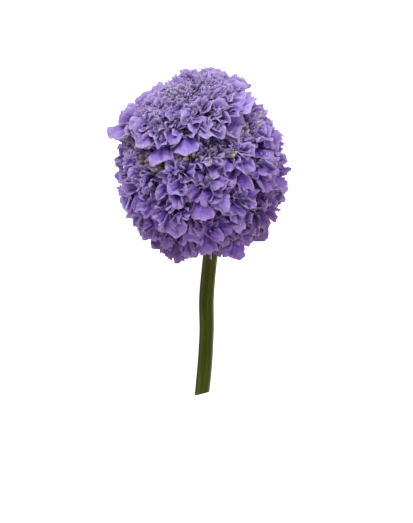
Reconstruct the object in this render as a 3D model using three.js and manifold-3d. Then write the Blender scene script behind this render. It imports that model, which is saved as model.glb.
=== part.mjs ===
// A double scabiosa (pincushion flower), cut with a short stalk and laid on its side.
// Millimetres, +Z up. Z = 0 is the table top, and the stalk runs from the head towards -Y.
// The head is modelled round its own axis, with its crown towards local +Z, then tipped over and set down.
import * as THREE from "three";
import { mergeVertices } from "three/addons/utils/BufferGeometryUtils.js";
import Module from "manifold-3d";

const wasm = await Module();
wasm.setup();

// ---- Driving dimensions ----
const HEAD_CENTRE = new THREE.Vector3(0.6, 27.4, 35.8); // middle of the ball of florets
const HEAD_TIP = 58; // degrees from upright to the crown's direction
const HEAD_TURN = 17; // degrees that the crown swings towards -X
const BALL_RADIUS = 24; // the lower part of the fleshy receptacle that the florets grow from
const CAP_RADIUS = 14; // its upper part, a smaller ball
const CAP_HEIGHT = 18.8; // how far up the head's axis the smaller ball sits
const CROWN_SEAT = 31.8; // flat seat of the crown, above the head's middle
const BRACT_SEAT = -22.2; // flat seat of the involucre, below the head's middle
const SEAT_GAP = 0.3; // left between two pieces that touch

const PETAL_WALL = 0.7; // thickness of a corolla
const ROOT_SINK = 2.6; // how far a corolla's foot reaches into the receptacle
const LOBES = 5; // a corolla's lobes
const SINUS = 0.6; // how far up the corolla the cuts between its lobes start
const TOOTH_TURN = 0.27; // where a lobe's two teeth stand either side of its middle, in lobes
const RUFFLE = 0.8; // how far a lobe's teeth wave up and down
const FLARE = { aside: 0.16, height: 0.72 }; // how far aside and up a funnel starts to open, of its whole
const GOLDEN_ANGLE = 137.508;
// A tier grows on the ball of this radius and height, between two polar angles.
// reach and rise: how far a lobe's tip stands out sideways and above the receptacle, at a tier's two ends.
// skew: how much longer the lobe that points away from the crown is. lean: the tube's tilt that way.
const CAP = { radius: CAP_RADIUS, height: CAP_HEIGHT };
const BALL = { radius: BALL_RADIUS, height: 0 };
const TIERS = [
  { on: CAP, florets: 8, from: 30, to: 40, reach: [4.8, 6], rise: [9.5, 10.5], skew: 0.35, lean: -16 },
  { on: CAP, florets: 13, from: 49, to: 65, reach: [10.2, 11], rise: [12, 13], skew: 0.28, lean: -25 },
  { on: BALL, florets: 13, from: 51, to: 62, reach: [7.4, 8], rise: [10, 11], skew: 0.3, lean: -4 },
  { on: BALL, florets: 28, from: 68, to: 145, reach: [10, 10.4], rise: [10.6, 11.2], skew: 0.25, lean: -9 },
];
// Unevenness of the florets: polar, azimuth and roll in degrees, the others as shares.
const UNEVEN = { polar: 1.5, azimuth: 3, roll: 14, size: 0.1, ruffle: 0.5 };
const CROWN_ROOM = { aside: 7.1, above: CROWN_SEAT - 4, ease: 0.5 }; // lobes keep this far off the axis
const BRACT_ROOM = { from: 134, give: 10 }; // past this polar angle lobes bend clear of the bracts

// The ring of buds in the waist: at this polar angle and distance from the head's middle.
const WAIST_BUDS = { count: 13, polar: 45, out: 26, radius: 2.1, height: 9 };

const CROWN = { foot: 5.4, radius: 6.1, height: 7, buds: 22, budRadius: 1.3, budHeight: 4.2 };
const INVOLUCRE = { radius: 8.6, neck: 4.2, height: 5.2 };
const BRACT_WALL = 0.8;
const BRACT_CURL = 16; // degrees that a bract bends outwards from its root to its tip
// spread: a bract's angle off the stalk at its root. from: where its row starts, round the disc.
const BRACT_ROWS = [
  { count: 12, length: 12, width: 3.6, spread: 58, from: 0 },
  { count: 12, length: 9, width: 4.8, spread: 74, from: 15 },
];

const STALK_RADIUS = 3.35;
// The stalk's centre line below the head: it comes down to the table and ends on it.
const STALK_BENDS = [
  [5.2, -5, 15.2],
  [3.7, -16, 10.6],
  [2.7, -29, 7.2],
  [2.8, -42, 5.2],
  [2.1, -56, 4.0],
  [0.6, -72.1, 3.25],
];
const STALK_SIDES = 18;
const STALK_STEPS = 16;
const STALK_LEAVES = 2.5; // how far the stalk keeps straight as it leaves the involucre
const STALK_GROOVE = 0.07; // how deep the fine grooves along the stalk are, as a share of its radius
const CUT_SLANT = 14; // degrees off square of the cut end
const CUT_BACK = 1.2; // how far before its end the stalk is cut

const TOUCH = { height: 0.05, ease: 0.4 }; // petals that meet the table bend flat at this height
const TABLE = { side: 300, depth: 100 };

// Numbers the repeatable draws, so that no two kinds of unevenness go together.
const FLORET_DRAW = { polar: 1, azimuth: 2, size: 3, roll: 4, ruffle: 5 };
const BUD_DRAW = { polar: 6, azimuth: 7, out: 8, radius: 9 };
const BRACT_DRAW = 10;

// ---- Small helpers ----
const rad = THREE.MathUtils.degToRad;
const UP = new THREE.Vector3(0, 0, 1);

// A repeatable draw from -1 to 1 for the piece with this number and this kind of unevenness.
function draw(number, kind) {
  const wave = Math.sin(number * 12.9898 + kind * 78.233) * 43758.5453;
  return 2 * (wave - Math.floor(wave)) - 1;
}

// The direction at this polar angle from +Z and this way round.
function direction(polar, azimuth) {
  const aside = Math.sin(polar);
  return new THREE.Vector3(aside * Math.cos(azimuth), aside * Math.sin(azimuth), Math.cos(polar));
}

// A closed geometry as a solid for joining and cutting.
function solid(geometry) {
  const bare = geometry.clone();
  bare.deleteAttribute("normal");
  bare.deleteAttribute("uv");
  const merged = mergeVertices(bare, 1e-4);
  return new wasm.Manifold(
    new wasm.Mesh({
      numProp: 3,
      vertProperties: new Float32Array(merged.attributes.position.array),
      triVerts: new Uint32Array(merged.index.array),
    }),
  );
}

// The largest body of a solid, as a geometry. Loose scraps are dropped, and sealed hollows are filled.
function geometryOf(made) {
  const bodies = made.decompose().sort((a, b) => b.volume() - a.volume());
  const mesh = bodies[0].getMesh();
  const geometry = new THREE.BufferGeometry();
  geometry.setAttribute("position", new THREE.BufferAttribute(mesh.vertProperties, 3));
  geometry.setIndex(new THREE.BufferAttribute(mesh.triVerts, 1));
  geometry.computeVertexNormals();
  return geometry;
}

// An open surface given a wall: a copy on each side, split into triangles alike, joined round the edge.
function thicken(points, triangles, wall) {
  const sheet = new THREE.BufferGeometry().setFromPoints(points);
  sheet.setIndex(triangles.flat());
  sheet.computeVertexNormals();
  const normals = sheet.attributes.normal;
  const count = points.length;
  const side = (away) =>
    points.map((p, i) => new THREE.Vector3().fromBufferAttribute(normals, i).multiplyScalar(away).add(p));
  const edges = new Map();
  for (const [a, b, c] of triangles)
    for (const [from, to] of [[a, b], [b, c], [c, a]]) {
      if (edges.has(`${to},${from}`)) edges.delete(`${to},${from}`);
      else edges.set(`${from},${to}`, [from, to]);
    }
  const faces = triangles.flatMap(([a, b, c]) => [a, b, c, a + count, c + count, b + count]);
  for (const [from, to] of edges.values())
    faces.push(to, from, from + count, to, from + count, to + count);
  const shell = new THREE.BufferGeometry().setFromPoints([...side(wall / 2), ...side(-wall / 2)]);
  shell.setIndex(faces);
  return shell;
}

// ---- The head's own frame ----
const head = new THREE.Group();
head.rotation.set(-rad(HEAD_TIP), 0, rad(HEAD_TURN), "ZXY");
head.position.copy(HEAD_CENTRE);
head.updateMatrixWorld();
const tableUp = UP.clone().applyQuaternion(head.quaternion.clone().invert()); // up, seen from that frame

// Everything under the table top, to trim off what is pressed against it.
const table = new THREE.BoxGeometry(TABLE.side, TABLE.side, TABLE.depth).translate(0, 0, -TABLE.depth / 2);

// Holds a value at or above a limit, easing into it over a short range.
function atLeast(value, limit, ease) {
  return Math.max(value, limit) + ease * Math.log1p(Math.exp(-Math.abs(value - limit) / ease));
}

// Lifts a point of the head that would be under the table up to it, and leaves the rest.
function restOnTable(p) {
  const height = p.dot(tableUp) + HEAD_CENTRE.z;
  return p.addScaledVector(tableUp, atLeast(height, TOUCH.height, TOUCH.ease) - height);
}

// Bends a point clear of the crown and of the bracts.
function bendClear(p) {
  const aside = Math.hypot(p.x, p.y);
  if (p.z > CROWN_ROOM.above) {
    const clear = atLeast(aside, CROWN_ROOM.aside, CROWN_ROOM.ease) / aside;
    return p.set(p.x * clear, p.y * clear, p.z);
  }
  const radius = p.length();
  const polar = THREE.MathUtils.radToDeg(Math.acos(p.z / radius));
  if (polar < BRACT_ROOM.from) return p;
  const past = (polar - BRACT_ROOM.from) / BRACT_ROOM.give;
  const eased = rad(BRACT_ROOM.from + BRACT_ROOM.give * Math.tanh(past));
  const spread = (radius * Math.sin(eased)) / aside;
  return p.set(p.x * spread, p.y * spread, radius * Math.cos(eased));
}

// ---- Florets ----
// Where each floret grows and how it is turned, tier by tier, on an equal-area golden-angle spiral.
function layOutFlorets() {
  const florets = [];
  for (const tier of TIERS)
    for (let k = 0; k < tier.florets; k++) {
      const number = florets.length;
      const share = (k + 0.5) / tier.florets;
      const cosine = THREE.MathUtils.lerp(Math.cos(rad(tier.from)), Math.cos(rad(tier.to)), share);
      const size = 1 + UNEVEN.size * draw(number, FLORET_DRAW.size);
      florets.push({
        ...tier,
        number,
        polar: Math.acos(cosine) + rad(UNEVEN.polar * draw(number, FLORET_DRAW.polar)),
        azimuth: rad(GOLDEN_ANGLE * number + UNEVEN.azimuth * draw(number, FLORET_DRAW.azimuth)),
        roll: rad(UNEVEN.roll * draw(number, FLORET_DRAW.roll)),
        reach: size * THREE.MathUtils.lerp(...tier.reach, share),
        rise: size * THREE.MathUtils.lerp(...tier.rise, share),
      });
    }
  return florets;
}

// A floret's own directions: out of the head, down it (away from the crown), and sideways.
function axesOf({ on, polar, azimuth, lean }) {
  const out = direction(polar, azimuth);
  const down = direction(polar + Math.PI / 2, azimuth);
  const across = new THREE.Vector3().crossVectors(out, down);
  const foot = out.clone().multiplyScalar(on.radius).setZ(on.radius * out.z + on.height);
  out.applyAxisAngle(across, rad(lean));
  down.applyAxisAngle(across, rad(lean));
  return { foot, out, down, across };
}

// A point of the corolla: up is 0 at its foot and 1 at a tip, and turn is the way round, 0 down the head.
// Each line up the corolla is a parabola that leaves the foot nearly upright and bends outwards to the tip.
function corollaPoint({ reach, rise, skew }, { foot, out, down, across }, turn, up) {
  const span = reach * (1 + skew * Math.cos(turn));
  const [atFoot, atBend, atTip] = [(1 - up) ** 2, 2 * up * (1 - up), up * up];
  const aside = (atBend * FLARE.aside + atTip) * span;
  const height = (atBend * FLARE.height + atTip) * rise - atFoot * ROOT_SINK;
  return foot
    .clone()
    .addScaledVector(down, aside * Math.cos(turn))
    .addScaledVector(across, aside * Math.sin(turn))
    .addScaledVector(out, height);
}

// One five-lobed corolla: a foot, a funnel up to the cuts between the lobes, and two waved teeth to a lobe.
function corolla(floret) {
  const axes = axesOf(floret);
  const place = (turn, up, wave) => {
    const p = corollaPoint(floret, axes, floret.roll + rad(turn), up).addScaledVector(axes.out, wave);
    return restOnTable(bendClear(p));
  };
  const step = 360 / LOBES;
  const points = [place(0, 0, 0)];
  for (let i = 0; i < LOBES; i++) {
    const ruffle = RUFFLE * (1 + UNEVEN.ruffle * draw(floret.number * LOBES + i, FLORET_DRAW.ruffle));
    points.push(
      place((i - 0.5) * step, SINUS, 0),
      place((i - TOOTH_TURN) * step, 0.97, ruffle),
      place((i + TOOTH_TURN) * step, 1.03, -ruffle),
    );
  }
  const triangles = [];
  for (let i = 0; i < LOBES; i++) {
    const [cut, tooth, nextTooth] = [1, 2, 3].map((k) => 3 * i + k);
    const nextCut = 3 * ((i + 1) % LOBES) + 1;
    triangles.push([0, cut, nextCut], [cut, tooth, nextTooth], [cut, nextTooth, nextCut]);
  }
  return thicken(points, triangles, PETAL_WALL);
}

// The receptacle: a ball with a smaller one on its shoulders, and a flat seat at each end.
function receptacle() {
  const arc = ({ radius, height }, from, to, steps) =>
    Array.from({ length: steps + 1 }, (_, i) => {
      const polar = THREE.MathUtils.lerp(from, to, i / steps);
      return new THREE.Vector2(radius * Math.sin(polar), radius * Math.cos(polar) + height);
    });
  const profile = [
    new THREE.Vector2(0, BRACT_SEAT),
    ...arc(BALL, Math.acos(BRACT_SEAT / BALL_RADIUS), rad(42), 7),
    ...arc(CAP, rad(84), Math.acos((CROWN_SEAT - CAP_HEIGHT) / CAP_RADIUS), 4),
    new THREE.Vector2(0, CROWN_SEAT),
  ];
  return new THREE.LatheGeometry(profile, 12).rotateX(Math.PI / 2);
}

// An unopened floret: a faceted egg, pointing out of the head at this place.
function bud(polar, azimuth, fromMiddle, radius, height) {
  const out = direction(polar, azimuth);
  const egg = new THREE.IcosahedronGeometry(radius, 0).scale(1, 1, height / (2 * radius));
  egg.applyQuaternion(new THREE.Quaternion().setFromUnitVectors(UP, out));
  return egg.translate(out.x * fromMiddle, out.y * fromMiddle, out.z * fromMiddle);
}

// The ring of buds in the waist between the cap of florets and the skirt below it.
function waistBuds() {
  const { count, polar, out, radius, height } = WAIST_BUDS;
  return Array.from({ length: count }, (_, i) =>
    bud(
      rad(polar + 3 * draw(i, BUD_DRAW.polar)),
      (2 * Math.PI * (i + 0.25 * draw(i, BUD_DRAW.azimuth))) / count,
      out + draw(i, BUD_DRAW.out),
      radius * (1 + 0.15 * draw(i, BUD_DRAW.radius)),
      height,
    ),
  );
}

// The receptacle with its florets and waist buds, trimmed where they lie on the table.
function makeFlorets() {
  const grown = [receptacle(), ...layOutFlorets().map(corolla), ...waistBuds()].map(solid);
  const tableFromHead = table.clone().applyMatrix4(head.matrixWorld.clone().invert());
  return geometryOf(wasm.Manifold.union(grown).subtract(solid(tableFromHead)));
}

// ---- Crown: the unopened florets at the middle of the cap, on a small dome ----
function makeCrown() {
  const { foot, radius, height, buds, budRadius, budHeight } = CROWN;
  const base = CROWN_SEAT + SEAT_GAP;
  const sag = 0.035; // how much lower the dome's top is towards its rim, per millimetre squared
  const profile = [
    [0, base],
    [foot, base],
    [radius, base + 0.72 * height],
    [0.72 * radius, base + 0.93 * height],
    [0, base + height],
  ].map(([r, z]) => new THREE.Vector2(r, z));
  const dome = new THREE.LatheGeometry(profile, 12).rotateX(Math.PI / 2);
  const knobs = Array.from({ length: buds }, (_, i) => {
    const aside = 0.86 * radius * Math.sqrt((i + 0.5) / buds);
    const z = base + height - sag * aside * aside;
    return bud(Math.atan2(aside, z), rad(GOLDEN_ANGLE * i), Math.hypot(aside, z), budRadius, budHeight);
  });
  return geometryOf(wasm.Manifold.union([dome, ...knobs].map(solid)));
}

// ---- Involucre: the green disc and pointed bracts under the head ----
// One bract: a thin lance-shaped blade that leaves the disc and curves outwards under the florets.
function bract({ count, length, width, spread, from }, index) {
  const azimuth = (2 * Math.PI * index) / count + rad(from);
  const across = new THREE.Vector3(-Math.sin(azimuth), Math.cos(azimuth), 0);
  const away = new THREE.Vector3(Math.cos(azimuth), Math.sin(azimuth), 0);
  const long = length * (1 + 0.12 * draw(index, BRACT_DRAW));
  const root = { aside: INVOLUCRE.radius - 2.4, z: BRACT_SEAT - SEAT_GAP - 2 };
  const keel = 0.18 * width; // how far the edges are folded up from the middle, at half the width
  const place = (along, side) => {
    const bend = rad(spread + BRACT_CURL * along);
    return away
      .clone()
      .multiplyScalar(root.aside + long * along * Math.sin(bend))
      .addScaledVector(across, side * width)
      .setZ(root.z - long * along * Math.cos(bend) + keel * Math.abs(side));
  };
  const points = [
    place(0, -0.32), place(0, 0.32), place(0.4, -0.5), place(0.4, 0), place(0.4, 0.5),
    place(0.75, -0.34), place(0.75, 0), place(0.75, 0.34), place(1, 0),
  ];
  const triangles = [
    [0, 3, 1], [0, 2, 3], [1, 3, 4], [2, 5, 3], [3, 5, 6], [3, 6, 7], [3, 7, 4], [5, 8, 6], [6, 8, 7],
  ];
  return thicken(points, triangles, BRACT_WALL);
}

// The disc, with its two rows of bracts.
function makeInvolucre() {
  const { radius, neck, height } = INVOLUCRE;
  const top = BRACT_SEAT - SEAT_GAP;
  const profile = [
    [0, top - height],
    [neck, top - height],
    [0.8 * radius, top - 0.52 * height],
    [radius, top - 0.25 * height],
    [radius - 0.6, top],
    [0, top],
  ].map(([r, z]) => new THREE.Vector2(r, z));
  const disc = new THREE.LatheGeometry(profile, 24).rotateX(Math.PI / 2);
  const bracts = BRACT_ROWS.flatMap((row) => Array.from({ length: row.count }, (_, i) => bract(row, i)));
  return geometryOf(wasm.Manifold.union([disc, ...bracts].map(solid)));
}

// ---- Stalk ----
// Its centre line: straight out of the involucre, then levelling out until the cut end lies on the table.
function stalkLine() {
  const top = BRACT_SEAT - INVOLUCRE.height - 2 * SEAT_GAP;
  const onHeadAxis = (z) => new THREE.Vector3(0, 0, z).applyMatrix4(head.matrixWorld);
  return new THREE.CatmullRomCurve3([
    onHeadAxis(top),
    onHeadAxis(top - STALK_LEAVES),
    ...STALK_BENDS.map(([x, y, z]) => new THREE.Vector3(x, y, z)),
  ]);
}

// A round section with shallow grooves, one at every other corner.
function stalkSection() {
  const rim = Array.from({ length: STALK_SIDES }, (_, i) => {
    const turn = (2 * Math.PI * i) / STALK_SIDES;
    const radius = STALK_RADIUS * (1 - STALK_GROOVE * (i % 2));
    return new THREE.Vector2(radius * Math.cos(turn), radius * Math.sin(turn));
  });
  return new THREE.Shape(rim);
}

// The stalk, with its end cut on the slant.
function makeStalk() {
  const line = stalkLine();
  const rod = new THREE.ExtrudeGeometry(stalkSection(), {
    steps: STALK_STEPS,
    extrudePath: line,
    bevelEnabled: false,
  });
  const size = 30;
  const end = line.getPoint(1);
  const knife = new THREE.BoxGeometry(size, size, size).translate(0, CUT_BACK - size / 2, 0);
  knife.rotateZ(rad(CUT_SLANT)).translate(end.x, end.y, end.z);
  return geometryOf(solid(rod).subtract(solid(knife)).subtract(solid(table)));
}

// ---- The flower ----
const petal = new THREE.MeshStandardMaterial({ color: "#8c76bb", roughness: 0.62, metalness: 0 });
const unopened = new THREE.MeshStandardMaterial({ color: "#8f8a86", roughness: 0.7, metalness: 0 });
const bractGreen = new THREE.MeshStandardMaterial({ color: "#5a6b33", roughness: 0.6, metalness: 0 });
const stalkGreen = new THREE.MeshStandardMaterial({ color: "#404820", roughness: 0.5, metalness: 0 });

function piece(name, geometry, material) {
  const mesh = new THREE.Mesh(geometry, material);
  mesh.name = name;
  return mesh;
}

head.add(
  piece("florets", makeFlorets(), petal),
  piece("crown_buds", makeCrown(), unopened),
  piece("involucre", makeInvolucre(), bractGreen),
);

const flower = new THREE.Group();
flower.add(head, piece("stalk", makeStalk(), stalkGreen));

export default flower;
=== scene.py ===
"""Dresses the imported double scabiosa: ruffled florets, buds, stamens, green bracts and a ribbed stalk.

Shapes are worked out in millimetres in the CAD model's frame, and go into their meshes in metres.
The flower lies on a table at z = 0, with its stalk towards -Y and its crown up towards +Y.
"""

import bmesh
import bpy
import numpy as np
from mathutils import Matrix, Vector


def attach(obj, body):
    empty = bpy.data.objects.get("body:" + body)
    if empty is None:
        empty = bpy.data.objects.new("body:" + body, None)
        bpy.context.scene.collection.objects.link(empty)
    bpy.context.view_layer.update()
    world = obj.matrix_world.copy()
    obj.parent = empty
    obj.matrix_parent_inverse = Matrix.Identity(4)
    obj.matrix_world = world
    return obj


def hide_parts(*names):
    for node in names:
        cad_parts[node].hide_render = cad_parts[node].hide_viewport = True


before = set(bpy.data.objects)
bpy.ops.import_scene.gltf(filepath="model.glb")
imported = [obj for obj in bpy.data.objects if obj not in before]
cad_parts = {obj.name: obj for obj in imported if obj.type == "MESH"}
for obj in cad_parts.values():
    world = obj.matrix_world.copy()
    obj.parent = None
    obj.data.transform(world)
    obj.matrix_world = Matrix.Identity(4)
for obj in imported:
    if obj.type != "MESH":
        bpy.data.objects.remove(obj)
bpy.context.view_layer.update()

# ---- Driving dimensions, in millimetres and degrees ----
MM = 0.001
HEAD_CENTRE = np.array([0.6, 27.4, 35.8])  # middle of the ball of florets
HEAD_TIP = 58  # from upright to the crown's direction
HEAD_TURN = 17  # how far the crown swings towards -X
# The receptacle is a ball and a smaller cap up the head's axis; each shows between two polar angles.
BALL = {"radius": 24, "height": 0, "arc": (157.7, 46), "rows": 30}
CAP = {"radius": 14, "height": 18.8, "arc": (84, 21.8), "rows": 16}
CROWN_SEAT = 31.8
BRACT_SEAT = -22.2
SEAT_GAP = 0.3

GOLDEN_ANGLE = 137.508
LOBES = 5
SINUS = 0.34  # how far up a corolla the cuts between its lobes start
ROOT_SINK = 2.6  # how far a corolla's foot reaches into the receptacle
FLARE = {"aside": 0.16, "height": 0.72}  # where the middle of its parabola is pulled to
PETAL_WALL = 0.14
TUBE_FOOT = 0.16  # the lowest ring of a corolla, as a share of the way up it
FINE = {"across": 18, "tube": 3, "blade": 7}  # quads over a lobe, up the tube and up the blade
COARSE = {"across": 14, "tube": 2, "blade": 6}
SPARE = {"across": 10, "tube": 1, "blade": 4}  # for petals in the shade of others

# A tier of florets grows on its ball over an arc of polar angles.
# reach, rise: how far a lobe's tip stands out sideways and above the receptacle, at the tier's two ends.
# age_and_shade: 0 fresh, 1 fading and darkened as painted shade, likewise. lean: the tube's tilt down the
# head.
LAYOUT = ("on", "florets", "first", "arc", "reach", "rise", "age_and_shade", "lean", "detail")
# skew: how much longer the lobe that points down the head is. width: a lobe's width at its margin, as a
# share of its fifth of the circle. round: the power of its outline, 2 for an ellipse and more for
# squarer. cup, curl: how far its sides and tip lift, and cups, curls: how much that varies. twist: the
# spread of its turn about its own length. ruffle: its waves.
PETALS = ("skew", "width", "round", "cup", "cups", "curl", "curls", "twist", "ruffle")
TIERS = {name: dict(zip(LAYOUT + PETALS, values)) for name, *values in (
    ("young_florets", CAP, 8, 0, (30, 40), (4.8, 6), (9.5, 10.5), (0, 0.15), -16, COARSE,
     0.35, 0.85, 2.2, 1.1, 0.9, 0.6, 1.3, 1.2, 0.6),
    ("rim_florets", CAP, 13, 8, (49, 65), (9.4, 10), (11.4, 12), (0.05, 0.3), -24, FINE,
     0.5, 1.4, 2.6, 0.3, 1, 0.2, 1, 0.5, 1.2),
    ("ring_florets", BALL, 13, 21, (51, 62), (7.4, 8), (10, 11), (0.2, 0.4), -4, FINE,
     0.3, 1.1, 3.2, 0.3, 1.3, 0.6, 1.3, 1, 1.15),
    # The skirt's florets are tinted duller and darker towards the stalk: partly their age, partly painted
    # shade on the head's lower side.
    ("skirt_florets", BALL, 28, 34, (68, 145), (8, 10), (9.6, 10.2), (0.35, 1), -12, FINE,
     0.55, 1.05, 4, 0.5, 1.4, -0.2, 1.6, 1.1, 1.1),
    ("cap_filling", CAP, 22, 100, (30, 54), (5.4, 8), (9.4, 11), (0.05, 0.35), -18, COARSE,
     0.5, 1.05, 2.8, 0.8, 1.4, 0.8, 1.4, 1, 0.7),
    ("skirt_filling", BALL, 64, 140, (52, 142), (6.8, 8), (9, 9.8), (0.3, 0.95), -12, COARSE,
     0.55, 1, 3.6, 0.6, 1.4, 0, 1.6, 1.1, 1.1),
    ("waist_filling", BALL, 26, 240, (40, 52), (4.8, 6), (8.6, 10.4), (0.2, 0.5), 0, COARSE,
     0.2, 0.95, 2.5, 0.8, 1.6, 1, 1.6, 1.5, 0.8),
    ("opening_buds", CAP, 24, 1100, (20, 36), (2.6, 3.8), (8, 10), (0, 0.2), -16, SPARE,
     0.2, 0.7, 2.2, 0.8, 1.6, 0.9, 1.6, 1.6, 0.7),
    # The deep petals are tinted darker than their age alone would give, as painted shade in the recesses
    # between florets.
    ("deep_petals", BALL, 76, 900, (36, 150), (6.6, 6.6), (4.8, 4.8), (0.5, 0.8), -8, SPARE,
     0.2, 1, 3, 0.3, 1, 0.3, 0.8, 0.6, 0.6),
    ("cap_lining", CAP, 26, 1000, (24, 88), (4.4, 6.4), (6, 6.4), (0, 0.3), -10, SPARE,
     0.2, 1, 3, 0.3, 1, 0.3, 0.8, 0.6, 0.6),
)}
# The smaller second whorl inside a double floret, half a lobe further round.
DOUBLED = ("rim_florets", "ring_florets", "skirt_florets")
INNER = {"first": 300, "reach": 0.66, "rise": 1.04, "cup": 1, "curl": 1.8}
# How uneven the florets are: polar, azimuth and roll in degrees, turn in radians, the rest as shares.
UNEVEN = {"polar": 1.5, "azimuth": 3, "roll": 14, "turn": 0.2, "size": 0.09, "reach": 0.12, "rise": 0.2,
          "width": 0.28, "age_and_shade": 0.12}
LOBE_SIDE = 0.97  # how much of a lobe's outline is gone at its sides
SCALLOPS = ((0.05, 6), (0.03, 11))  # depths as shares of a lobe, and radians over half its width
WAVES = ((1.1, 3.8), (0.8, 8), (0.9, 12))  # heights, and radians over half a lobe's width
FULL_REACH = 10  # florets of this reach lift by their full cup, curl and waves
CAP_LIFT = 0.3  # how far the cap's florets turn up to the light
JOSTLE = ((0.9, 9.5), (0.25, 4))  # how far neighbours push each other, and the lengths of its waves
JOSTLE_CALM = 0.5  # how much less they do so on the cap
JOSTLE_EASE = 8  # the distance over which both set in
SWAY = {"from": 44, "over": 20, "by": 5}  # the cap's far side leans over towards +X
# The room that florets have: radii from the head's middle at heights up its axis.
ROOM = {"at": (-34, -26, -16, 14, 20, 25, 33, 38), "radius": (42, 41.5, 39, 38, 38.6, 43.6, 45, 44.5),
        "uneven": 1.1}
CROWN_ROOM = {"aside": 5.6, "above": CROWN_SEAT - 4, "ease": 0.7}
BRACT_ROOM = {"from": 134, "give": 10}
PETAL_TOUCH = {"height": 0.2, "ease": 0.3}  # petals that meet the table bend flat at this height
STALK_TOUCH = {"height": 0.08, "ease": 0.1}

STAMENS = {"each": 4, "over": 1.08, "uneven": 0.1, "root": 0.6, "spread": 2.6, "thick": 0.12,
           "anther": (0.75, 0.28)}
# belly, full: the powers in a bud's outline. rib: how deep its ribs are.
BUD = {"rows": 8, "columns": 10, "belly": 1.35, "full": 0.75, "ribs": 5, "rib": 0.16}
ASKEW = (0.3, 0.9, 0.1)  # a direction that no bud points in, to measure turns round buds from
# droop, lean: how the dome falls and buds tip outwards with the distance from the axis; sway in radians.
CROWN = {"foot": 5.4, "radius": 6.1, "height": 7, "filled": 0.93, "droop": 0.035, "sunk": 1.4,
         "lean": 0.09, "sway": (0.16, 0.4)}
CROWN_BUDS = {"count": 110, "first": 500, "width": 0.62, "length": 3.8, "uneven": (0.22, 0.3)}
BRISTLES = {"count": 120, "first": 400, "width": 0.17, "length": 3.23, "uneven": 0.95}
# stand, splay: how far a tuft's feet and tips spread, in radians from the head's middle.
WAIST_BUDS = {"tufts": 38, "each": 7, "first_tuft": 750, "first": 2000, "polar": (44, 60), "out": 24.6,
              "width": 0.9, "length": 10.6, "uneven": (0.25, 0.14), "stand": (0.04, 0.05),
              "splay": (0.18, 0.22)}
INVOLUCRE = {"radius": 8.6, "neck": 4.2, "height": 5.2}
BRACT_ROWS = [
    {"first": 800, "count": 12, "length": 12, "width": 3.6, "spread": 58, "from": 0},
    {"first": 950, "count": 12, "length": 9, "width": 4.8, "spread": 74, "from": 15},
]
# uneven: the spreads of a bract's length, as a share, and of its curl in degrees.
BRACT = {"wall": 0.5, "inset": 2.4, "under": 2, "foot": 0.32, "swell": 0.9, "curl": 16, "fold": 0.36,
         "wave": 0.22, "uneven": (0.12, 5)}

STALK_RADIUS = 3.35
STALK_BENDS = np.array([[5.2, -5, 15.2], [3.7, -16, 10.6], [2.7, -29, 7.2], [2.8, -42, 5.2],
                        [2.1, -56, 4.0], [0.6, -72.1, 3.25]])
STALK_RIBS = 9
STALK_GROOVE = 0.07
STALK_SWELL = {"by": 0.2, "over": 3}  # how much thicker it is at the bracts, and how soon that fades
CUT_SLANT = 14
CUT_BACK = 1.2
CUT_EASE = 12  # how far up the stalk the rows slide to meet the cut
# Rings that close the cut: share of the radius, how far sunk, and how much pith shows.
CUT_RINGS = np.array([[0.97, 0, 0.3], [0.9, 0.06, 0.9], [0.78, 0.2, 1], [0.6, 0.32, 1], [0.4, 0.4, 1],
                      [0.2, 0.44, 1], [0, 0.45, 1]])

VEINS = 18  # across a lobe, 0.45 mm apart

# Numbers the repeatable draws, so that no two kinds of unevenness go together.
DRAWS = {name: kind for kind, name in enumerate(
    ["polar", "azimuth", "size", "roll", "reach", "rise", "cup", "curl", "wave", "swell", "tooth", "turn",
     "shade", "age_and_shade", "twist", "out"], start=1)}


# ---- Small helpers ----
def draw(number, kind):
    """Repeatable numbers from -1 to 1: twice the fraction of a scaled sine of both numbers, less one."""
    wave = np.sin(number * 12.9898 + DRAWS[kind] * 78.233) * 43758.5453
    return 2 * (wave - np.floor(wave)) - 1


def stacked(*values):
    """Several arrays, brought to one shape, as the last axis of one array."""
    return np.stack(np.broadcast_arrays(*values), -1)


def direction(polar, azimuth):
    """Unit vectors at a polar angle from the head's axis and an angle round it, in radians."""
    return stacked(np.sin(polar) * np.cos(azimuth), np.sin(polar) * np.sin(azimuth), np.cos(polar))


def circle(count):
    """Angles in equal steps all the way round."""
    return np.linspace(0, 2 * np.pi, count, endpoint=False)


def between(ends, share):
    """The straight-line mean of the two ends, at a share of the way from the first."""
    return ends[0] + (ends[1] - ends[0]) * share


def at_least(value, limit, ease):
    """The larger of a value and a limit, with the corner rounded over a short range."""
    return np.maximum(value, limit) + ease * np.log1p(np.exp(-np.abs(value - limit) / ease))


def unit(vectors):
    """The vectors at length one."""
    return vectors / np.linalg.norm(vectors, axis=-1, keepdims=True)


def turned(axis, degrees):
    """The matrix of a turn round X or Z."""
    c, s = np.cos(np.radians(degrees)), np.sin(np.radians(degrees))
    if axis == "X":
        return np.array([[1, 0, 0], [0, c, -s], [0, s, c]])
    return np.array([[c, -s, 0], [s, c, 0], [0, 0, 1]])


HEAD_AXES = turned("Z", HEAD_TURN) @ turned("X", -HEAD_TIP)


def from_head(points):
    """Points of the head's own frame, crown up, brought to where the head lies."""
    return points @ HEAD_AXES.T + HEAD_CENTRE


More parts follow.
